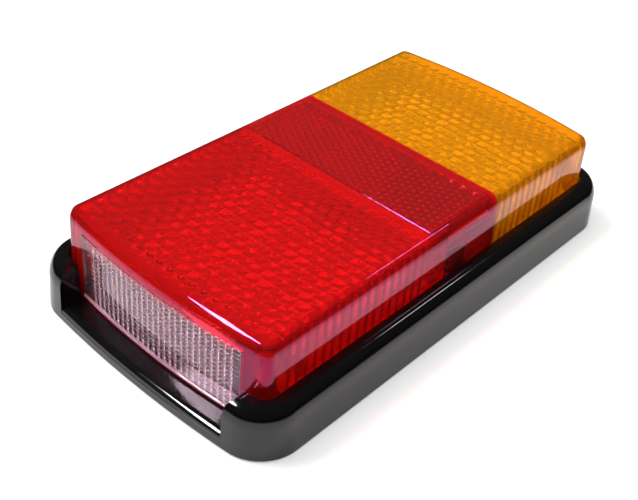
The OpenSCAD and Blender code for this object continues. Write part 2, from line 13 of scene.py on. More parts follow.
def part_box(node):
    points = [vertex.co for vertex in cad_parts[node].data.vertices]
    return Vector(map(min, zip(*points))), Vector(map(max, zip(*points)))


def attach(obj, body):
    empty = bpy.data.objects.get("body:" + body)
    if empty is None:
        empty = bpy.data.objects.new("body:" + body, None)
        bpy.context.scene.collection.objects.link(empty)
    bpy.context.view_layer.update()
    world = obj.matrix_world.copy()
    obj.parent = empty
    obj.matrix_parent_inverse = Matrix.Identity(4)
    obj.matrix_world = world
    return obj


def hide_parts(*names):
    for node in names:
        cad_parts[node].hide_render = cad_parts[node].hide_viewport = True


bl_info = {
    "name": "Rear combination lamp",
    "version": (1, 0, 0),
    "blender": (4, 5, 0),
    "location": "View3D > Sidebar > Rear lamp",
    "description": "Builds the lenses, housing and finishes of a rear combination lamp round its CAD frame",
    "category": "Add Mesh",
}

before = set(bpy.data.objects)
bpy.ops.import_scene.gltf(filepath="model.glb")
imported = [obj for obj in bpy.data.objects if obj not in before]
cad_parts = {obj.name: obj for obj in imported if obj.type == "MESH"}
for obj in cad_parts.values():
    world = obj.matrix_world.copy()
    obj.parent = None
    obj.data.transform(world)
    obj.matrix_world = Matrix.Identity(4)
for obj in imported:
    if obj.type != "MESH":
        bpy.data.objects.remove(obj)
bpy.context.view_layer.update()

housing_low, housing_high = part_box("base_housing")
red_low, red_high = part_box("lens_red")
amber_low, amber_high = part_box("lens_amber")
plate_low, plate_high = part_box("reflex_reflector")
window_low, window_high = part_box("plate_window")
backplate_low, backplate_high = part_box("reflector_backplate")
insert_low, insert_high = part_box("mount_insert_far")
grommet_low, grommet_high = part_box("cable_grommet")

MM = 0.001
# How far a cutting form reaches past the surface it cuts
CLEAR = 1 * MM
# Gap between moulded pieces that fit into each other
FIT = 0.05 * MM
# How many straight steps each round form is made of
CORNER_STEPS = 14
END_STEPS = 44
ROUND_STEPS = 12
PILLOW_STEPS = 8
FLUTE_STEPS = 8
RIB_STEPS = 8
LIP_ROWS = 8
WINDOW_ROWS = 96
POST_STEPS = 48
FLOOR_STEPS = 96
# Edges sharper than this stay sharp in the shading
SMOOTH_ANGLE = np.radians(32)
# Ring inside a rounded edge that keeps the shading of the flat top straight
FLAT_START = 0.2 * MM
# Smallest corners of an outline that is moved in
HOUSING_LEAST_CORNER = 2.6 * MM
LENS_LEAST_CORNER = 1.2 * MM
# Plain strips between the pillows and the walls, at the ends and along the sides
END_MARGIN = 1.2 * MM
SIDE_MARGIN = 1.8 * MM
# Share of the ends' bow that the rows of pillows follow
PILLOW_BOW = 0.8


def length(name, default, description):
    """A length that a user may change, in metres."""
    return FloatProperty(
        name=name, description=description, default=default, min=0, unit="LENGTH", precision=5
    )


def colour(name, default, description):
    """A colour that a user may change, as an sRGB hex value."""
    return StringProperty(name=name, description=description, default=default)


class HousingSettings(bpy.types.PropertyGroup):
    """Sizes of the moulded black housing"""

    corner: length("Corner radius", 10.4 * MM, "Radius of the corners seen from the front")
    bow: length("End bow", 2.6 * MM, "How far each end bows outward in its middle")
    draft: length("Wall lean", 0.4 * MM, "How far the walls lean in up to the shoulder")
    shoulder_width: length("Shoulder width", 3.4 * MM, "Width of the rounded rim shoulder")
    shoulder_height: length("Shoulder height", 5.6 * MM, "Height of the rounded rim shoulder")
    rim_edge: length("Rim edge", 0.7 * MM, "Radius of the rim's inner edge beside the lens")
    floor: length("Floor thickness", 2.6 * MM, "Thickness of the housing floor")
    lens_gap: length("Lens gap", 0.35 * MM, "Gap between the lens wall and the rim")
    notch_width: length("Notch width", 58.6 * MM, "Width of the notch in front of the window")
    sill_height: length("Sill height", 4.4 * MM, "Height of the sill below the notch")
    sill_round: length("Sill rounding", 2.0 * MM, "Radius of the sill's outer edge")
    notch_round: length("Notch rounding", 2.6 * MM, "Radius of the rim ends beside the notch")
    back_recess: length("Back recess", 0.8 * MM, "Depth of the cored pockets in the back")
    back_land: length("Back land", 9 * MM, "Width of the flat land round the back")
    back_rib: length("Back ribs", 4 * MM, "Width of the ribs across the back")
    plastic: colour("Plastic", "#0B0B0D", "Colour of the black plastic")


class LensSettings(bpy.types.PropertyGroup):
    """Sizes and colours of the two moulded lenses"""

    corner: length("Corner radius", 2.6 * MM, "Radius of the corners seen from the front")
    draft: length("Wall lean", 0.4 * MM, "How far the walls lean in up to the rounded edge")
    edge_width: length("Edge width", 2.8 * MM, "Width of the rounded top edge")
    edge_height: length("Edge height", 4.4 * MM, "Height of the rounded top edge")
    wall: length("Wall thickness", 2 * MM, "Thickness of the walls")
    top: length("Top thickness", 2.2 * MM, "Thickness of the top")
    pillow_width: length("Pillow width", 3.5 * MM, "Width of one pillow under the top")
    pillow_length: length("Pillow length", 3 * MM, "Length of one pillow under the top")
    pillow_depth: length("Pillow depth", 0.7 * MM, "Depth of the pillows")
    flute_pitch: length("Flute pitch", 2.95 * MM, "Spacing of the flutes inside the side walls")
    flute_depth: length("Flute depth", 0.5 * MM, "Depth of the flutes")
    joint_wall: length("Joint wall", 1.6 * MM, "Wall of the red lens at the joint")
    red: colour("Red", "#EA2A22", "Colour of the red plastic, as light takes it going through once")
    amber: colour("Amber", "#F8BE00", "Colour of the amber plastic, as light takes it going through once")


class ReflectorSettings(bpy.types.PropertyGroup):
    """Sizes and colour of the reflex reflector"""

    edge: length("Edge radius", 0.7 * MM, "Radius of the plate's top edges")
    seat: length("Seat depth", 1.2 * MM, "Depth of the seat in the lens top")
    ledge: length("Ledge", 1.1 * MM, "Width of the ledge that carries the plate")
    prism_pitch: length("Prism pitch", 2.2 * MM, "Spacing of the cube corner prisms")
    prism_flat: FloatProperty(
        name="Prism flat",
        description="Share of a prism's step that is missing at its tip",
        default=0.6,
        min=0,
        max=0.9,
    )
    red: colour("Red", "#D83430", "Colour of the reflector plastic, as light takes it going through once")


class WindowSettings(bpy.types.PropertyGroup):
    """Sizes of the clear number plate window"""

    wall: length("Wall", 2 * MM, "Thickness of the window without its ribs")
    rib_pitch: length("Rib pitch", 1.93 * MM, "Spacing of the upright ribs")
    rib_depth: length("Rib depth", 0.8 * MM, "Depth of the ribs")
    bead_pitch: length("Bead pitch", 1.3 * MM, "Spacing of the cross waves along each rib")
    bead_depth: length("Bead depth", 0.3 * MM, "Depth of the cross waves")
    lip: length("Lip", 0.5 * MM, "How far the rounded lip along the bottom stands out")
    lip_height: length("Lip height", 1.0 * MM, "Height of the lip along the bottom")


class StageSettings(bpy.types.PropertyGroup):
    """Camera, floor and lamps"""

    azimuth: FloatProperty(
        name="Azimuth", description="Camera angle round Z", default=0.66748, subtype="ANGLE"
    )
    elevation: FloatProperty(
        name="Elevation", description="Camera angle above the floor", default=0.62389, subtype="ANGLE"
    )
    roll: FloatProperty(name="Roll", description="Camera roll", default=0.10632, subtype="ANGLE")
    distance: length("Distance", 294.75 * MM, "Distance from the camera to the aim point")
    aim_height: length("Aim height", 15 * MM, "Height of the aim point above the floor")
    focal_mm: FloatProperty(name="Focal length", description="Focal length in millimetres", default=60.53)
    shift: FloatVectorProperty(name="Shift", description="Camera shift", size=2, default=(-0.0423, -0.0636))
    floor_radius: length("Floor radius", 1.2, "Radius of the pale floor")
    sheet_inner: length(
        "Sheet", 26 * MM, "Distance from the lamp up to which the floor is white to reflections"
    )
    sheet_outer: length("Sheet edge", 85 * MM, "Distance from the lamp where reflections see dark ground")
    floor_white: colour("Floor", "#F2F2F2", "Colour of the floor")


# Finishes


def linear(code):
    """Linear red, green, blue and alpha of an sRGB hex value."""
    parts = [int(code[i : i + 2], 16) / 255 for i in (1, 3, 5)]
    return tuple(c / 12.92 if c <= 0.04045 else ((c + 0.055) / 1.055) ** 2.4 for c in parts) + (1.0,)


def add(tree, kind, inputs=None, **settings):
    """Adds a node with its settings, and its inputs as links from sockets or as values."""
    node = tree.nodes.new(kind)
    for name, value in settings.items():
        setattr(node, name, value)
    for name, value in (inputs or {}).items():
        if isinstance(value, bpy.types.NodeSocket):
            tree.links.new(value, node.inputs[name])
        else:
            node.inputs[name].default_value = value
    return node


def new_finish(name):
    """A material with an empty node tree, its output node and object coordinates in metres."""
    material = bpy.data.materials.new(name)
    material.use_nodes = True
    tree = material.node_tree
    tree.nodes.clear()
    output = add(tree, "ShaderNodeOutputMaterial")
    place = add(tree, "ShaderNodeTexCoord").outputs["Object"]
    return material, tree, output, place


def clear_plastic(name, code, haze, wave_height, gloss=0.5, painted_reflection_tint="#FFFFFF"):
    """PMMA or polycarbonate, injection moulded and mould polished: clear through, with a little haze from
    its pigment, and sharp highlights on a skin that waves slightly over about 12 mm where the melt flowed.
    Light passes it on its way in, and takes its colour. A pinkish gloss tint, where one is given, paints a
    pinkish cast into its reflections."""
    material, tree, output, place = new_finish(name)
    flow = add(tree, "ShaderNodeTexNoise", {"Vector": place, "Scale": 1 / (12 * MM), "Detail": 1.0})
    bump = add(
        tree, "ShaderNodeBump", {"Height": flow.outputs["Fac"], "Distance": wave_height, "Strength": 1.0}
    )
    body = add(tree, "ShaderNodeBsdfPrincipled", {"Normal": bump.outputs["Normal"]})
    body.inputs["Base Color"].default_value = linear(code)
    body.inputs["Transmission Weight"].default_value = 1 - haze
    body.inputs["Roughness"].default_value = 0.03
    body.inputs["IOR"].default_value = 1.49
    body.inputs["Specular IOR Level"].default_value = gloss
    # The gloss tint paints its colour into the reflections
    body.inputs["Specular Tint"].default_value = linear(painted_reflection_tint)
    once = tuple(c**0.5 for c in linear(code))
    through = add(tree, "ShaderNodeBsdfTransparent", {"Color": once})
    light_path = add(tree, "ShaderNodeLightPath")
    shadow = light_path.outputs["Is Shadow Ray"]
    mixed = add(tree, "ShaderNodeMixShader", {0: shadow, 1: body.outputs[0], 2: through.outputs[0]})
    tree.links.new(mixed.outputs[0], output.inputs["Surface"])
    return material


def gloss_black_abs(code):
    """ABS, injection moulded in a polished tool: deep black, wet looking, with a faint waviness over about
    15 mm and a few fine dull spots from handling."""
    material, tree, output, place = new_finish("abs_gloss_black_moulded")
    wave = add(tree, "ShaderNodeTexNoise", {"Vector": place, "Scale": 1 / (15 * MM), "Detail": 1.0})
    dull = add(tree, "ShaderNodeTexNoise", {"Vector": place, "Scale": 1 / (4 * MM), "Detail": 4.0})
    rough = add(
        tree,
        "ShaderNodeMapRange",
        {"Value": dull.outputs["Fac"], "From Min": 0.35, "From Max": 0.75, "To Min": 0.06, "To Max": 0.12},
    )
    bump = add(
        tree, "ShaderNodeBump", {"Height": wave.outputs["Fac"], "Distance": 0.02 * MM, "Strength": 1.0}
    )
    body = add(
        tree,
        "ShaderNodeBsdfPrincipled",
        {"Roughness": rough.outputs["Result"], "Normal": bump.outputs["Normal"]},
    )
    body.inputs["Base Color"].default_value = linear(code)
    body.inputs["IOR"].default_value = 1.53
    tree.links.new(body.outputs[0], output.inputs["Surface"])
    return material


def grained(name, code, other_code, roughness, grain, depth=0.01 * MM, metallic=0.0):
    """A plain finish with a fine grain of its own size: two close colours and a matching bump."""
    material, tree, output, place = new_finish(name)
    noise = add(tree, "ShaderNodeTexNoise", {"Vector": place, "Scale": 1 / grain, "Detail": 3.0})
    tint = add(
        tree,
        "ShaderNodeMix",
        {0: noise.outputs["Fac"], 6: linear(code), 7: linear(other_code)},
        data_type="RGBA",
    )
    bump = add(tree, "ShaderNodeBump", {"Height": noise.outputs["Fac"], "Distance": depth, "Strength": 1.0})
    body = add(
        tree, "ShaderNodeBsdfPrincipled", {"Base Color": tint.outputs[2], "Normal": bump.outputs["Normal"]}
    )
    body.inputs["Roughness"].default_value = roughness
    body.inputs["Metallic"].default_value = metallic
    tree.links.new(body.outputs[0], output.inputs["Surface"])
    return material


def dress(nodes, material):
    """Gives CAD nodes a finish."""
    for name in nodes:
        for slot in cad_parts[name].material_slots:
            slot.material = material


# Forms


def quarter(centre_x, centre_y, radius, start):
    """A quarter of a circle, counter-clockwise from an angle in degrees."""
    angle = np.radians(start + 90 * np.arange(CORNER_STEPS + 1) / CORNER_STEPS)
    return np.column_stack([centre_x + radius * np.cos(angle), centre_y + radius * np.sin(angle)])


def lamp_end(half_width, half_length, radius, bow, side):
    """One bowed end of the lamp's outline with its two corners; side is 1 at the far end and -1 at the
    near end."""
    centre_x = side * (half_width - radius)
    centre_y = side * (half_length - bow - radius)
    x = centre_x * (1 - 2 * np.arange(1, END_STEPS) / END_STEPS)
    start = 0 if side > 0 else 180
    points = np.vstack([
        quarter(centre_x, centre_y, radius, start),
        np.column_stack([x, np.full(len(x), side * (half_length - bow))]),
        quarter(-centre_x, centre_y, radius, start + 90),
    ])
    points[:, 1] += side * bow * (1 - (points[:, 0] / half_width) ** 2)
    return points


def lamp_outline(half_width, half_length, radius, bow):
    """The lamp's outline seen from the front."""
    return np.vstack([lamp_end(half_width, half_length, radius, bow, side) for side in (1, -1)])


def at_height(points, z):
    """Flat points lifted to a height."""
    return np.column_stack([points, np.full(len(points), z)])


def rounded_edge(width, height, lean, top):
    """A quarter ellipse as (inset, height) steps from a wall up to the start of a flat top."""
    angle = np.radians(90 * np.arange(ROUND_STEPS + 1) / ROUND_STEPS)
    steps = np.column_stack([lean + width * (1 - np.cos(angle)), top - height * (1 - np.sin(angle))])
    return np.vstack([steps, steps[-1] + (FLAT_START, 0)])


def new_piece(name, points, faces):
    """A mesh object in the lamp's frame."""
    mesh = bpy.data.meshes.new(name)
    mesh.from_pydata([tuple(p) for p in points], [], faces)
    mesh.validate()
    work = bmesh.new()
    work.from_mesh(mesh)
    bmesh.ops.recalc_face_normals(work, faces=work.faces)
    work.to_mesh(mesh)
    work.free()
    piece = bpy.data.objects.new(name, mesh)
    bpy.context.scene.collection.objects.link(piece)
    return piece


def skin(name, rings):
    """A closed form through a stack of rings with the same number of points, low to high."""
    count = len(rings[0])
    last = (len(rings) - 1) * count
    faces = [tuple(range(count - 1, -1, -1)), tuple(last + i for i in range(count))]
    for start in range(0, last, count):
        for i in range(count):
            k = (i + 1) % count
            faces.append((start + i, start + k, start + count + k, start + count + i))
    return new_piece(name, np.vstack(rings), faces)


def block(name, low, high):
    """A box between two corners."""
    (x0, y0, z0), (x1, y1, z1) = low, high
    corners = np.array([[x0, y0], [x1, y0], [x1, y1], [x0, y1]])
    return skin(name, [at_height(corners, z0), at_height(corners, z1)])


def post(name, x, y, radius, z0, z1):
    """An upright cylinder."""
    angle = np.radians(360 * np.arange(POST_STEPS) / POST_STEPS)
    ring = np.column_stack([x + radius * np.cos(angle), y + radius * np.sin(angle)])
    return skin(name, [at_height(ring, z0), at_height(ring, z1)])


def combine(piece, tool, operation):
    """Cuts the tool out of the piece, adds it or keeps what both hold, and deletes the tool."""
    modifier = piece.modifiers.new("combine", "BOOLEAN")
    modifier.operation = operation
    modifier.solver = "EXACT"
    modifier.object = tool
    graph = bpy.context.evaluated_depsgraph_get()
    mesh = bpy.data.meshes.new_from_object(piece.evaluated_get(graph))
    piece.modifiers.clear()
    before = piece.data
    piece.data = mesh
    bpy.data.meshes.remove(before)
    used = tool.data
    bpy.data.objects.remove(tool)
    bpy.data.meshes.remove(used)
    return piece


def finish_piece(piece, material, slot, *nodes):
    """Smooths a piece apart from its sharp edges, gives it its finish and sets it in the frame."""
    mesh = piece.data
    mesh.materials.clear()
    mesh.materials.append(material)
    mesh.shade_smooth()
    mesh.set_sharp_from_angle(angle=SMOOTH_ANGLE)
    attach(piece, "root")
    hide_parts(*nodes)
    if not mesh.polygons:
        raise RuntimeError(f"{piece.name} came out empty")


def housing_ring(settings, inset, z):
    """The housing's outline, moved in by an inset."""
    radius = max(settings.corner - inset, HOUSING_LEAST_CORNER)
    return at_height(lamp_outline(housing_high.x - inset, housing_high.y - inset, radius, settings.bow), z)


def lens_ring(settings, inset, z):
    """The outline of both lenses, moved in by an inset."""
    bow = bpy.context.scene.lamp_housing.bow
    radius = max(settings.corner - inset, LENS_LEAST_CORNER)
    return at_height(lamp_outline(red_high.x - inset, amber_high.y - inset, radius, bow), z)


def lens_form(settings, name):
    """Outer form of both lenses, from the foot over the rounded edge to the flat top."""
    rings = [lens_ring(settings, 0, red_low.z)]
    for inset, z in rounded_edge(settings.edge_width, settings.edge_height, settings.draft, red_high.z):
        rings.append(lens_ring(settings, inset, z))
    return skin(name, rings)


def flutes(x, from_y, to_y, pitch, depth):
    """Round flutes along one straight side wall, walked from one place to another."""
    count = int(abs(to_y - from_y) / pitch)
    t = np.arange(count * FLUTE_STEPS) / FLUTE_STEPS
    y = from_y + np.sign(to_y - from_y) * t * pitch
    return np.column_stack([x - np.sign(x) * depth * (0.5 - 0.5 * np.cos(2 * np.pi * t)), y])


def lens_hollow(settings, name, near_y, far_y):
    """Hollow inside the lens walls, with flutes along both sides between two places."""
    bow = bpy.context.scene.lamp_housing.bow
    half_width = red_high.x - settings.wall - settings.draft
    half_length = amber_high.y - settings.wall
    far_end = lamp_end(half_width, half_length, settings.corner, bow, 1)
    near_end = lamp_end(half_width, half_length, settings.corner, bow, -1)
    ring = np.vstack([
        far_end,
        flutes(-half_width, far_y, near_y, settings.flute_pitch, settings.flute_depth),
        near_end,
        flutes(half_width, near_y, far_y, settings.flute_pitch, settings.flute_depth),
    ])
    return skin(name, [at_height(ring, red_low.z - CLEAR), at_height(ring, red_high.z + CLEAR)])


def pillow_slab(settings, name, near_y, far_y, near_bow, far_bow):
    """A slab whose top is the underside of the lens top, laid with rounded pillows in brick bond."""
    half_width = red_high.x - settings.wall - settings.draft - SIDE_MARGIN
    ceiling = red_high.z - settings.top
    columns = int(2 * half_width / settings.pillow_width)
    rows = int((far_y - near_y) / settings.pillow_length)
    u = np.arange(columns * PILLOW_STEPS + 1) / PILLOW_STEPS
    v = np.arange(rows * PILLOW_STEPS + 1) / PILLOW_STEPS
    across, along = np.meshgrid(u, v, indexing="ij")
    offset = np.where(np.floor(np.minimum(along, rows - 0.5)) % 2 == 0, 0.0, 0.5)
    in_x = 2 * ((across + offset) % 1) - 1
    in_y = 2 * (along % 1) - 1
    drop = settings.pillow_depth * (1 - np.minimum(1, (in_x**4 + in_y**4) ** 0.25))
    x = 2 * half_width * (across / columns - 0.5)
    bend = 1 - (x / half_width) ** 2
    t = along / rows
    y = near_y + (far_y - near_y) * t - near_bow * bend * (1 - t) + far_bow * bend * t
    z = ceiling - drop
    spread = 8 * MM
    x = np.pad(x, 1, mode="edge")
    y = np.pad(y, 1, mode="edge")
    z = np.pad(z, 1, constant_values=ceiling)
    x[0, :] -= spread
    x[-1, :] += spread
    y[:, 0] -= spread
    y[:, -1] += spread
    nx, ny = x.shape
    points = np.column_stack([x.ravel(), y.ravel(), z.ravel()])
    index = np.arange(nx * ny).reshape(nx, ny)
    faces = [
        (index[i, j], index[i + 1, j], index[i + 1, j + 1], index[i, j + 1])
        for i in range(nx - 1)
        for j in range(ny - 1)
    ]
    edge = np.concatenate([index[:-1, 0], index[-1, :-1], index[:0:-1, -1], index[0, :0:-1]])
    low = points[edge].copy()
    low[:, 2] = red_low.z - 2 * CLEAR
    first = nx * ny
    count = len(edge)
    for i in range(count):
        k = (i + 1) % count
        faces.append((edge[i], first + i, first + k, edge[k]))
    faces.append(tuple(first + i for i in range(count - 1, -1, -1)))
    return new_piece(name, np.vstack([points, low]), [tuple(int(i) for i in f) for f in faces])


def reflector_block(name, inset, z0, z1):
    """A box centred on the reflector plate."""
    low = (plate_low.x + inset, plate_low.y + inset, z0)
    high = (plate_high.x - inset, plate_high.y - inset, z1)
    return block(name, low, high)


# Operators


class LAMP_OT_housing(bpy.types.Operator):
    """Builds the black housing with its rounded rim, notch and cored back"""

    bl_idname = "lamp.housing"
    bl_label = "Black housing"

    def notch(self, s):
        """What is cut away in front of the window, with rounded rim ends and a rounded sill"""
        top = housing_high.z
        angle = np.radians(90 * np.arange(ROUND_STEPS + 1) / ROUND_STEPS)
        half = s.notch_width / 2
        # The cut ends just above the rim, and its flat part just before the rounded rim ends
        above = 0.05 * MM
        corner_step = 0.2 * MM
        # How far it reaches inward, and how much of the sill's rounding fades up along the rim ends
        depth = 12.5 * MM
        fading = 0.95
        end_x = half + s.notch_round * (1 - np.cos(angle))
        end_z = top - s.notch_round + (s.notch_round + above) * np.sin(angle)
        middle_x = (half - corner_step) * (1 - 2 * np.arange(END_STEPS + 1) / END_STEPS)
        x = np.concatenate([end_x[::-1], middle_x, -end_x])
        floor = np.concatenate([end_z[::-1], np.full(len(middle_x), s.sill_height), end_z])
        inner = housing_high.y - depth
        rings = []
        for px, pz in zip(x, floor):
            bow = s.bow * (px / housing_high.x) ** 2
            drop = s.sill_round * (1 - fading * (pz - s.sill_height) / (top - s.sill_height + above))
            out = bow - housing_high.y
            ring = [(px, bow - inner, top + CLEAR), (px, bow - inner, pz)]
            ring += [
                (px, out + s.draft / 2 + drop * (1 - np.sin(a)), pz - drop * (1 - np.cos(a))) for a in angle
            ]
            ring += [(px, out - CLEAR, pz - drop), (px, out - CLEAR, top + CLEAR)]
            rings.append(np.array(ring))
        return skin("notch_cut", rings)

    def execute(self, context):
        s = context.scene.lamp_housing
        lens = context.scene.lamp_lens
        base_bevel = 0.4 * MM
        rings = [housing_ring(s, base_bevel, 0), housing_ring(s, 0, base_bevel)]
        for inset, z in rounded_edge(s.shoulder_width, s.shoulder_height, s.draft, housing_high.z):
            rings.append(housing_ring(s, inset, z))
        shell = skin("housing_shell", rings)
        mouth = [lens_ring(lens, -s.lens_gap, s.floor)]
        for a in np.radians(90 * np.arange(ROUND_STEPS + 1) / ROUND_STEPS):
            inset = -s.lens_gap - s.rim_edge * (1 - np.cos(a))
            mouth.append(lens_ring(lens, inset, housing_high.z - s.rim_edge * (1 - np.sin(a))))
        mouth.append(lens_ring(lens, -s.lens_gap - s.rim_edge, housing_high.z + CLEAR))
        combine(shell, skin("lens_pocket", mouth), "DIFFERENCE")
        combine(shell, self.notch(s), "DIFFERENCE")
        self.core_back(shell, s)
        finish_piece(shell, gloss_black_abs(s.plastic), "black_housing", "base_housing")
        self.paint_inside(shell, s)
        return {"FINISHED"}

    def paint_inside(self, shell, s):
        """Grey paint on the walls round the lens foot, which sends stray light out through the lens"""
        mesh = shell.data
        paint = grained("abs_sprayed_grey_inside", "#4A4A48", "#444442", roughness=0.5, grain=1 * MM)
        mesh.materials.append(paint)
        # Only the upright walls beside and behind the lenses, clear of the window and the rim's edge
        widest = red_high.x + s.lens_gap + 0.1 * MM
        nearest = window_high.y + 5 * MM
        highest = housing_high.z - s.rim_edge
        steepest = 0.1
        for face in mesh.polygons:
            x, y, z = face.center
            upright = abs(face.normal.z) < steepest
            if upright and abs(x) < widest and y > nearest and s.floor < z < highest:
                face.material_index = 1

    def core_back(self, shell, s):
        """Shallow pockets in the back, between the land, the ribs and the pads round the inserts"""
        rib = s.back_rib / 2
        # Radii of the pads round the inserts, of the grommet's flange seat and of its hole
        pad = 5.9 * MM
        seat_radius = grommet_high.x + 1 * MM
        hole_radius = grommet_high.x - 1.9 * MM
        insert_y = (insert_low.y + insert_high.y) / 2
        cross = insert_y / 2
        levels = (-CLEAR, s.back_recess)
        pockets = skin("pockets", [housing_ring(s, s.back_land, level) for level in levels])
        low, high = -2 * CLEAR, s.back_recess + CLEAR
        along = block("rib", (-rib, -insert_y * 2, low), (rib, insert_y * 2, high))
        combine(pockets, along, "DIFFERENCE")
        for y in (-cross, cross):
            across = block("rib", (-insert_y, y - rib, low), (insert_y, y + rib, high))
            combine(pockets, across, "DIFFERENCE")
        for y in (-insert_y, insert_y):
            combine(pockets, post("pad", 0, y, pad, low, high), "DIFFERENCE")
        combine(shell, pockets, "DIFFERENCE")
        for y in (-insert_y, insert_y):
            combine(shell, post("insert_hole", 0, y, insert_high.x, -CLEAR, insert_high.z), "DIFFERENCE")
        combine(shell, post("grommet_seat", 0, 0, seat_radius, -CLEAR, s.back_recess), "DIFFERENCE")
        combine(shell, post("grommet_hole", 0, 0, hole_radius, -CLEAR, s.floor + CLEAR), "DIFFERENCE")


class LAMP_OT_red_lens(bpy.types.Operator):
    """Builds the red lens with its pillows, flutes, reflector seat and window opening"""

    bl_idname = "lamp.red_lens"
    bl_label = "Red lens"

    def execute(self, context):
        s = context.scene.lamp_lens
        r = context.scene.lamp_reflector
        bow = context.scene.lamp_housing.bow
        wide = red_high.x + CLEAR
        joint = amber_low.y
        shell = lens_form(s, "lens_red_shell")
        far_part = block("far_part", (-wide, joint, 0), (wide, housing_high.y, red_high.z + CLEAR))
        combine(shell, far_part, "DIFFERENCE")
        near_y = -amber_high.y + s.wall + 2 * bow + s.corner
        hollow = lens_hollow(s, "hollow", near_y, plate_low.y)
        field_near = -amber_high.y + s.wall + bow + END_MARGIN
        slab = pillow_slab(s, "pillows", field_near, plate_low.y - END_MARGIN, bow * PILLOW_BOW, 0)
        combine(hollow, slab, "INTERSECT")
        joint_wall = block(
            "joint_wall", (-wide, joint - s.joint_wall, 0), (wide, housing_high.y, red_high.z)
        )
        combine(hollow, joint_wall, "DIFFERENCE")
        air_frame = block(
            "air_frame",
            (backplate_low.x, backplate_low.y, backplate_high.z),
            (backplate_high.x, backplate_high.y, red_high.z),
        )
        combine(hollow, air_frame, "DIFFERENCE")
        combine(shell, hollow, "DIFFERENCE")
        seat = reflector_block("seat", -FIT, red_high.z - r.seat, red_high.z + CLEAR)
        combine(shell, seat, "DIFFERENCE")
        air_space = reflector_block("air_space", r.ledge, backplate_high.z - CLEAR, red_high.z)
        combine(shell, air_space, "DIFFERENCE")
        inner_y = window_high.y + 2 * MM
        opening = block(
            "opening",
            (window_low.x - FIT, -housing_high.y, window_low.z - FIT),
            (window_high.x + FIT, inner_y, window_high.z + FIT),
        )
        combine(shell, opening, "DIFFERENCE")
        # The pinkish gloss tint paints a pinkish cast into the red lens's reflections
        red = clear_plastic(
            "pmma_red_moulded_polished",
            s.red,
            haze=0.25,
            wave_height=0.012 * MM,
            gloss=1.0,
            painted_reflection_tint="#FF80FF",
        )
        finish_piece(shell, red, "red_lens", "lens_red")
        return {"FINISHED"}


class LAMP_OT_amber_lens(bpy.types.Operator):
    """Builds the amber lens with its pillows and flutes"""

    bl_idname = "lamp.amber_lens"
    bl_label = "Amber lens"

    def execute(self, context):
        s = context.scene.lamp_lens
        bow = context.scene.lamp_housing.bow
        wide = red_high.x + CLEAR
        joint = amber_low.y
        shell = lens_form(s, "lens_amber_shell")
        near_part = block("near_part", (-wide, -housing_high.y, 0), (wide, joint, red_high.z + CLEAR))
        combine(shell, near_part, "DIFFERENCE")
        far_y = amber_high.y - s.wall - 2 * bow - s.corner
        hollow = lens_hollow(s, "hollow", joint + END_MARGIN, far_y)
        field_far = amber_high.y - s.wall - bow - END_MARGIN
        slab = pillow_slab(s, "pillows", joint + END_MARGIN, field_far, 0, bow * PILLOW_BOW)
        combine(hollow, slab, "INTERSECT")
        combine(shell, hollow, "DIFFERENCE")
        amber = clear_plastic("pmma_amber_moulded_polished", s.amber, haze=0.25, wave_height=0.012 * MM)
        finish_piece(shell, amber, "amber_lens", "lens_amber")
        return {"FINISHED"}


class LAMP_OT_reflector(bpy.types.Operator):
    """Builds the reflex reflector with cube corner prisms under its plate"""

    bl_idname = "lamp.reflector"
    bl_label = "Reflex reflector"

    def prism_slab(self, pitch, bottom, top):
        """A slab whose underside is an array of cube corners, seen along their diagonals"""
        side = pitch / np.sqrt(3)
        level = side / np.sqrt(2)
        rows = 2 * int((plate_high.y - plate_low.y) / side / np.sqrt(3)) + 2
        columns = int(2 * plate_high.x / side) + 1
        middle_y = (plate_low.y + plate_high.y) / 2
        low, high = [], []
        for i in range(rows + 1):
            for m in range(columns + 1):
                x = side * (m + 0.5 * (i % 2) - columns / 2)
                y = middle_y + side * np.sqrt(3) / 2 * (i - rows / 2)
                low.append((x, y, bottom - level * ((i - m + i // 2) % 3)))
                high.append((x, y, top))
        width = columns + 1
        faces = []
        for i in range(rows):
            for m in range(columns):
                a = i * width + m
                b = a + 1
                c = a + width
                d = c + 1
                faces += [(a, c, b), (c, d, b)] if i % 2 == 0 else [(a, c, d), (a, d, b)]
        edge = list(range(width))
        edge += [i * width + columns for i in range(1, rows + 1)]
        edge += [rows * width + m for m in range(columns - 1, -1, -1)]
        edge += [i * width for i in range(rows - 1, 0, -1)]
        first = len(low)
        ring = [first + k for k in range(len(edge))]
        for k in range(len(edge)):
            n = (k + 1) % len(edge)
            faces.append((edge[k], edge[n], ring[n], ring[k]))
        faces.append(tuple(ring))
        return new_piece("prisms", low + [high[k] for k in edge], faces)

    def execute(self, context):
        r = context.scene.lamp_reflector
        top = plate_high.z
        bottom = red_high.z - r.seat
        corners = np.array([[1, -1], [1, 1], [-1, 1], [-1, -1]])
        middle_y = (plate_low.y + plate_high.y) / 2
        half = np.array([plate_high.x, (plate_high.y - plate_low.y) / 2])
        rings = [np.column_stack([corners * half, np.full(4, bottom)])]
        for inset, z in rounded_edge(r.edge, r.edge, 0, top):
            rings.append(np.column_stack([corners * (half - inset), np.full(4, z)]))
        for ring in rings:
            ring[:, 1] += middle_y
        plate = skin("reflector_plate", rings)
        root = 0.3 * MM
        prisms = self.prism_slab(r.prism_pitch, bottom, bottom + root)
        inset = r.ledge + 0.1 * MM
        level = r.prism_pitch / np.sqrt(6)
        tips = bottom - (2 - r.prism_flat) * level
        combine(prisms, reflector_block("prism_field", inset, tips, bottom + CLEAR), "INTERSECT")
        combine(plate, prisms, "UNION")
        # The pinkish gloss tint paints a pinkish cast into the reflector's reflections
        red = clear_plastic(
            "pmma_reflex_red_moulded",
            r.red,
            haze=0.25,
            wave_height=0.008 * MM,
            gloss=1.0,
            painted_reflection_tint="#FF80FF",
        )
        finish_piece(plate, red, "red_reflector", "reflex_reflector")
        return {"FINISHED"}


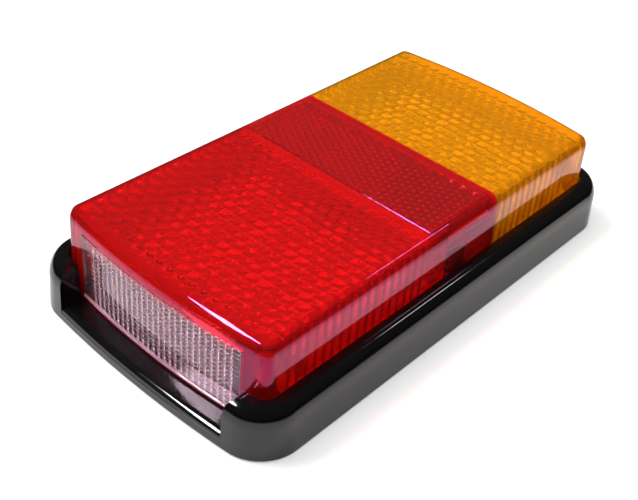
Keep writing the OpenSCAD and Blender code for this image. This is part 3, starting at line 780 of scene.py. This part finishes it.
class LAMP_OT_window(bpy.types.Operator):
    """Builds the clear number plate window with its upright ribs"""

    bl_idname = "lamp.window"
    bl_label = "Number plate window"

    def execute(self, context):
        w = context.scene.lamp_window
        bow = context.scene.lamp_housing.bow
        half = window_high.x
        plain_ends = 4 * MM
        ribs = int((2 * half - plain_ends) / w.rib_pitch)
        start = -ribs * w.rib_pitch / 2
        ribbed = start + np.arange(ribs * RIB_STEPS + 1) * w.rib_pitch / RIB_STEPS
        x = np.concatenate([[-half], ribbed, [half]])
        rib = np.abs(np.sin(np.pi * (x - start) / w.rib_pitch))
        rib[[0, -1]] = 0
        lip_top = window_low.z + w.lip_height
        z = np.concatenate([
            np.linspace(window_low.z, lip_top, LIP_ROWS + 1)[:-1],
            np.linspace(lip_top, window_high.z, WINDOW_ROWS + 1),
        ])
        front_y = window_low.y + bow * (x / red_high.x) ** 2
        rows = []
        wave = 0.5 - 0.5 * np.cos(2 * np.pi * (z - window_low.z) / w.bead_pitch)
        across_lip = np.clip(2 * (z - window_low.z) / w.lip_height - 1, -1, 1)
        for height, bead, lip in zip(z, wave, w.lip * np.sqrt(1 - across_lip**2)):
            back = front_y + w.wall + w.rib_depth * rib - w.bead_depth * bead * (rib > 0)
            front_row = np.column_stack([x, front_y - lip, np.full(len(x), height)])
            back_row = np.column_stack([x[::-1], back[::-1], np.full(len(x), height)])
            rows.append(np.vstack([front_row, back_row]))
        window = skin("window_insert", rows)
        # The pinkish gloss tint paints a pinkish cast into the window's reflections
        clear = clear_plastic(
            "polycarbonate_clear_moulded",
            "#F4F6F8",
            haze=0.02,
            wave_height=0.008 * MM,
            gloss=0.35,
            painted_reflection_tint="#FFA0E0",
        )
        finish_piece(window, clear, "clear_window", "plate_window")
        self.frost_with_painted_highlights(window, w)
        return {"FINISHED"}

    def frost_with_painted_highlights(self, window, w):
        """The crests of the ribs and the bottom lip get a matt pinkish white finish, a painted highlight
        that stands in for the glints on the beads and the bright line along the lip
        """
        mesh = window.data
        # Pinkish white haze that paints the highlights on the crests and the lip
        matt = clear_plastic("polycarbonate_crests_painted_highlight", "#FFC4E0", haze=0.34, wave_height=0.008 * MM)
        mesh.materials.append(matt)
        bow = bpy.context.scene.lamp_housing.bow
        # Faces this deep are crests, unless they face up; those near the front face belong to the lip
        crest_depth = w.wall + 0.62 * w.rib_depth
        facing_up = 0.9
        front_depth = 0.2 * MM
        for face in mesh.polygons:
            x, y, z = face.center
            depth = y - window_low.y - bow * (x / red_high.x) ** 2
            crest = depth > crest_depth and face.normal.z < facing_up
            lip = z < window_low.z + w.lip_height and depth < front_depth
            if crest or lip:
                face.material_index = 1


class LAMP_OT_inner_parts(bpy.types.Operator):
    """Gives the boards, diodes, small parts, screws, inserts and rubber parts their finishes"""

    bl_idname = "lamp.inner_parts"
    bl_label = "Inner parts and fixings"

    def execute(self, context):
        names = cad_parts
        # Glass epoxy board under white solder mask: satin, with the copper showing as faint islands
        board = grained("fr4_white_solder_mask", "#C4C4C0", "#A9A9A6", roughness=0.35, grain=5 * MM)
        dress(["circuit_board"], board)
        # The same board under black solder mask, so that it stays dark behind the clear window
        board = grained("fr4_black_solder_mask", "#0C0C0E", "#141416", roughness=0.4, grain=2 * MM)
        dress(["plate_light_board"], board)
        # Clear epoxy diodes over bright metal cups, given a flat white that is a painted glint: pale spots
        # under the red lens
        diode = grained("diode_red_zone_painted_glint", "#FFFFFF", "#F4F0EE", roughness=0.15, grain=2 * MM)
        dress([name for name in names if name.startswith("stop_led")], diode)
        # The same diodes with a warmer epoxy under the amber lens, their flat white again a painted glint
        diode = grained("diode_amber_zone_painted_glint", "#FFFFFF", "#F7F2E8", roughness=0.15, grain=2 * MM)
        dress([name for name in names if name.startswith("indicator_led")], diode)
        # White diodes, whose phosphor is a dull yellow brown while they are off
        diode = grained("epoxy_cast_diode_white", "#3A3426", "#332E22", roughness=0.15, grain=2 * MM)
        dress([name for name in names if name.startswith("plate_led")], diode)
        # Plain pale plastic that gives the prisms a light ground
        plate = grained(
            "abs_pale_grey_moulded", "#D8D8DA", "#CCCCCE", roughness=0.4, grain=1 * MM, depth=0.02 * MM
        )
        dress(["reflector_backplate"], plate)
        # Matt black rubber with a fine grain
        rubber = grained(
            "epdm_rubber_moulded", "#151515", "#1D1D1D", roughness=0.7, grain=0.6 * MM, depth=0.03 * MM
        )
        dress(["lens_seal"], rubber)
        # The same rubber, a little shinier where the cable is pushed through
        rubber = grained(
            "epdm_rubber_grommet", "#161616", "#202020", roughness=0.65, grain=0.6 * MM, depth=0.03 * MM
        )
        dress(["cable_grommet"], rubber)
        # Warm yellow metal with soft highlights
        brass = grained("brass_turned", "#D8B25A", "#C9A14C", roughness=0.28, grain=0.5 * MM, metallic=1.0)
        dress(["mount_insert_near", "mount_insert_far"], brass)
        # Cold grey metal, slightly mottled by the plating
        zinc = grained(
            "steel_zinc_plated", "#C8CACC", "#B4B6BA", roughness=0.3, grain=0.8 * MM, metallic=1.0
        )
        dress(["board_screws"], zinc)
        # Milky plastic without dye
        nylon = grained("nylon_natural_moulded", "#E8E2CF", "#DDD6C0", roughness=0.45, grain=1 * MM)
        dress(["wire_header"], nylon)
        # Dull black bodies of the circuit's parts
        compound = grained("epoxy_moulding_compound", "#1B1B1D", "#242426", roughness=0.5, grain=0.4 * MM)
        dress(["driver_chip", "resistors", "surge_diode"], compound)
        # Thin plastic sleeve with a soft gloss
        sleeve = grained(
            "pvc_shrink_sleeve_black", "#141416", "#1A1A1C", roughness=0.3, grain=1 * MM, depth=0.005 * MM
        )
        dress(["capacitor"], sleeve)
        return {"FINISHED"}


class LAMP_OT_stage(bpy.types.Operator):
    """Sets the pale floor, the soft studio lamps and the camera"""

    bl_idname = "lamp.stage"
    bl_label = "Stage"

    def camera(self, context, s):
        """Stands the camera at its angle round the lamp, with its roll and shift"""
        az, el = s.azimuth, s.elevation
        back = Vector((np.sin(az) * np.cos(el), -np.cos(az) * np.cos(el), np.sin(el)))
        level = Vector((np.cos(az), np.sin(az), 0))
        upright = back.cross(level)
        right = np.cos(s.roll) * level + np.sin(s.roll) * upright
        up = -np.sin(s.roll) * level + np.cos(s.roll) * upright
        data = bpy.data.cameras.new("studio_camera")
        data.lens = s.focal_mm
        data.sensor_width = 36
        data.shift_x, data.shift_y = s.shift
        data.clip_start = 0.01
        camera = bpy.data.objects.new("studio_camera", data)
        turn = Matrix((right, up, back)).transposed().to_4x4()
        camera.matrix_world = Matrix.Translation(Vector((0, 0, s.aim_height)) + back * s.distance) @ turn
        context.scene.collection.objects.link(camera)
        context.scene.camera = camera

    def lamp(self, context, name, place, aim, size, power, gloss=True, diffuse=True):
        """A soft rectangular lamp that looks at a point. It gives shades, highlights or both, because the
        highlights on the plastic are thinner than the lamps behind its soft shades."""
        data = bpy.data.lights.new(name, "AREA")
        data.shape = "RECTANGLE"
        data.size, data.size_y = size
        data.energy = power
        light = bpy.data.objects.new(name, data)
        away = (Vector(place) - Vector(aim)).normalized()
        along = (Vector((0, 1, 0)) - away * away.y).normalized()
        turn = Matrix((along, away.cross(along), away)).transposed().to_4x4()
        light.matrix_world = Matrix.Translation(Vector(place)) @ turn
        light.visible_glossy = gloss
        light.visible_transmission = gloss
        light.visible_diffuse = diffuse
        context.scene.collection.objects.link(light)

    def floor(self, s):
        """A pale sheet on a dark ground: white to the camera everywhere, and white to the gloss of the lamp
        only where the sheet lies, close round it; it keeps the lamp's shadow"""
        angle = np.radians(360 * np.arange(FLOOR_STEPS) / FLOOR_STEPS)
        ring = s.floor_radius * np.column_stack([np.cos(angle), np.sin(angle)])
        just_below = -0.02 * MM
        floor = new_piece("floor", at_height(ring, just_below), [tuple(range(FLOOR_STEPS))])
        material, tree, output, place = new_finish("paper_backdrop_white")
        fibre = add(tree, "ShaderNodeTexNoise", {"Vector": place, "Scale": 1 / (2 * MM), "Detail": 2.0})
        bump = add(tree, "ShaderNodeBump", {"Height": fibre.outputs["Fac"], "Distance": 0.02 * MM})
        side = add(tree, "ShaderNodeVectorMath", {0: place}, operation="ABSOLUTE").outputs[0]
        lamp_foot = (housing_high.x, housing_high.y, 0)
        past = add(tree, "ShaderNodeVectorMath", {0: side, 1: lamp_foot}, operation="SUBTRACT").outputs[0]
        past = add(tree, "ShaderNodeVectorMath", {0: past, 1: (0, 0, 0)}, operation="MAXIMUM").outputs[0]
        away = add(tree, "ShaderNodeVectorMath", {0: past}, operation="LENGTH").outputs["Value"]
        sheet = add(
            tree,
            "ShaderNodeMapRange",
            {
                "Value": away,
                "From Min": s.sheet_inner,
                "From Max": s.sheet_outer,
                "To Min": 1.0,
                "To Max": 0.0,
            },
            interpolation_type="SMOOTHSTEP",
        ).outputs["Result"]
        shade = add(
            tree,
            "ShaderNodeMix",
            {0: sheet, 6: linear("#242426"), 7: linear(s.floor_white)},
            data_type="RGBA",
        )
        body = add(
            tree, "ShaderNodeBsdfDiffuse", {"Color": shade.outputs[2], "Normal": bump.outputs["Normal"]}
        )
        # Glow that lifts the sheet to white, for reflections and for the camera
        in_gloss = 0.3
        on_sheet = 0.4
        path = add(tree, "ShaderNodeLightPath").outputs
        glossy, passed = path["Is Glossy Ray"], path["Is Transmission Ray"]
        mirrored = add(tree, "ShaderNodeMath", {0: glossy, 1: passed}, operation="MAXIMUM")
        mirrored = add(tree, "ShaderNodeMath", {0: mirrored.outputs[0], 1: sheet}, operation="MULTIPLY")
        mirrored = add(tree, "ShaderNodeMath", {0: mirrored.outputs[0], 1: in_gloss}, operation="MULTIPLY")
        bare = add(tree, "ShaderNodeMath", {0: 1.0, 1: sheet}, operation="SUBTRACT")
        fill = add(
            tree,
            "ShaderNodeMath",
            {0: bare.outputs[0], 1: 1 - on_sheet, 2: on_sheet},
            operation="MULTIPLY_ADD",
        )
        camera_ray = path["Is Camera Ray"]
        seen = add(tree, "ShaderNodeMath", {0: camera_ray, 1: fill.outputs[0]}, operation="MULTIPLY")
        lift = add(tree, "ShaderNodeMath", {0: seen.outputs[0], 1: mirrored.outputs[0]}, operation="ADD")
        glow = add(tree, "ShaderNodeEmission", {"Color": linear("#FFFFFF"), "Strength": lift.outputs[0]})
        both = add(tree, "ShaderNodeAddShader", {0: body.outputs[0], 1: glow.outputs[0]})
        tree.links.new(both.outputs[0], output.inputs["Surface"])
        floor.data.materials.append(material)

    def surroundings(self, context):
        """A dim studio that is a little darker near the horizon, and white to the camera"""
        world = bpy.data.worlds.new("studio")
        world.use_nodes = True
        tree = world.node_tree
        tree.nodes.clear()
        output = add(tree, "ShaderNodeOutputWorld")
        way = add(tree, "ShaderNodeTexCoord").outputs["Generated"]
        rise = add(tree, "ShaderNodeSeparateXYZ", {"Vector": way}).outputs["Z"]
        horizon_top = 0.3
        high = add(tree, "ShaderNodeMapRange", {"Value": rise, "From Min": 0.0, "From Max": horizon_top})
        shade = add(
            tree,
            "ShaderNodeMix",
            {0: high.outputs["Result"], 6: linear("#303030"), 7: linear("#484848")},
            data_type="RGBA",
        )
        camera_ray = add(tree, "ShaderNodeLightPath").outputs["Is Camera Ray"]
        seen = add(
            tree,
            "ShaderNodeMix",
            {0: camera_ray, 6: shade.outputs[2], 7: linear("#FFFFFF")},
            data_type="RGBA",
        )
        background = add(tree, "ShaderNodeBackground", {"Color": seen.outputs[2], "Strength": 1.0})
        tree.links.new(background.outputs[0], output.inputs["Surface"])
        context.scene.world = world

    def execute(self, context):
        s = context.scene.lamp_stage
        self.floor(s)
        self.surroundings(context)
        self.camera(context, s)
        aim = (0, 0, s.aim_height)
        self.lamp(
            context, "soft_overhead", place=(0, 0, 0.7), aim=aim, size=(0.7, 0.7), power=3.2, gloss=False
        )
        self.lamp(
            context,
            "window_left",
            place=(-0.308, -0.21, 0.6),
            aim=aim,
            size=(0.36, 0.155),
            power=2.9,
            gloss=False,
        )
        self.lamp(
            context,
            "window_edge",
            place=(-0.243, -0.469, 0.424),
            aim=aim,
            size=(0.27, 0.085),
            power=5.2,
            diffuse=False,
        )
        self.lamp(
            context, "strip_behind", place=(0.23, 0.435, 0.52), aim=aim, size=(0.095, 0.05), power=0.2
        )
        context.scene.view_settings.view_transform = "Standard"
        return {"FINISHED"}


class LAMP_PT_panel(bpy.types.Panel):
    """Lists the steps that build the lamp"""

    bl_label = "Rear lamp"
    bl_idname = "LAMP_PT_panel"
    bl_space_type = "VIEW_3D"
    bl_region_type = "UI"
    bl_category = "Rear lamp"

    def draw(self, context):
        for step in STEPS:
            self.layout.operator(step.bl_idname)
        for group in SETTINGS:
            settings = getattr(context.scene, group)
            for name in settings.__annotations__:
                self.layout.prop(settings, name)


STEPS = (
    LAMP_OT_housing,
    LAMP_OT_red_lens,
    LAMP_OT_amber_lens,
    LAMP_OT_reflector,
    LAMP_OT_window,
    LAMP_OT_inner_parts,
    LAMP_OT_stage,
)
SETTINGS = {
    "lamp_housing": HousingSettings,
    "lamp_lens": LensSettings,
    "lamp_reflector": ReflectorSettings,
    "lamp_window": WindowSettings,
    "lamp_stage": StageSettings,
}


def register():
    """Registers the settings, the steps and the panel"""
    for group in (*SETTINGS.values(), *STEPS, LAMP_PT_panel):
        bpy.utils.register_class(group)
    for name, group in SETTINGS.items():
        setattr(bpy.types.Scene, name, PointerProperty(type=group))


def unregister():
    """Takes away what register() added"""
    for name in SETTINGS:
        delattr(bpy.types.Scene, name)
    for group in reversed((*SETTINGS.values(), *STEPS, LAMP_PT_panel)):
        bpy.utils.unregister_class(group)


def main():
    """Builds the lamp and its stage"""
    register()
    bpy.ops.lamp.housing()
    bpy.ops.lamp.red_lens()
    bpy.ops.lamp.amber_lens()
    bpy.ops.lamp.reflector()
    bpy.ops.lamp.window()
    bpy.ops.lamp.inner_parts()
    bpy.ops.lamp.stage()


if __name__ == "__main__":
    main()
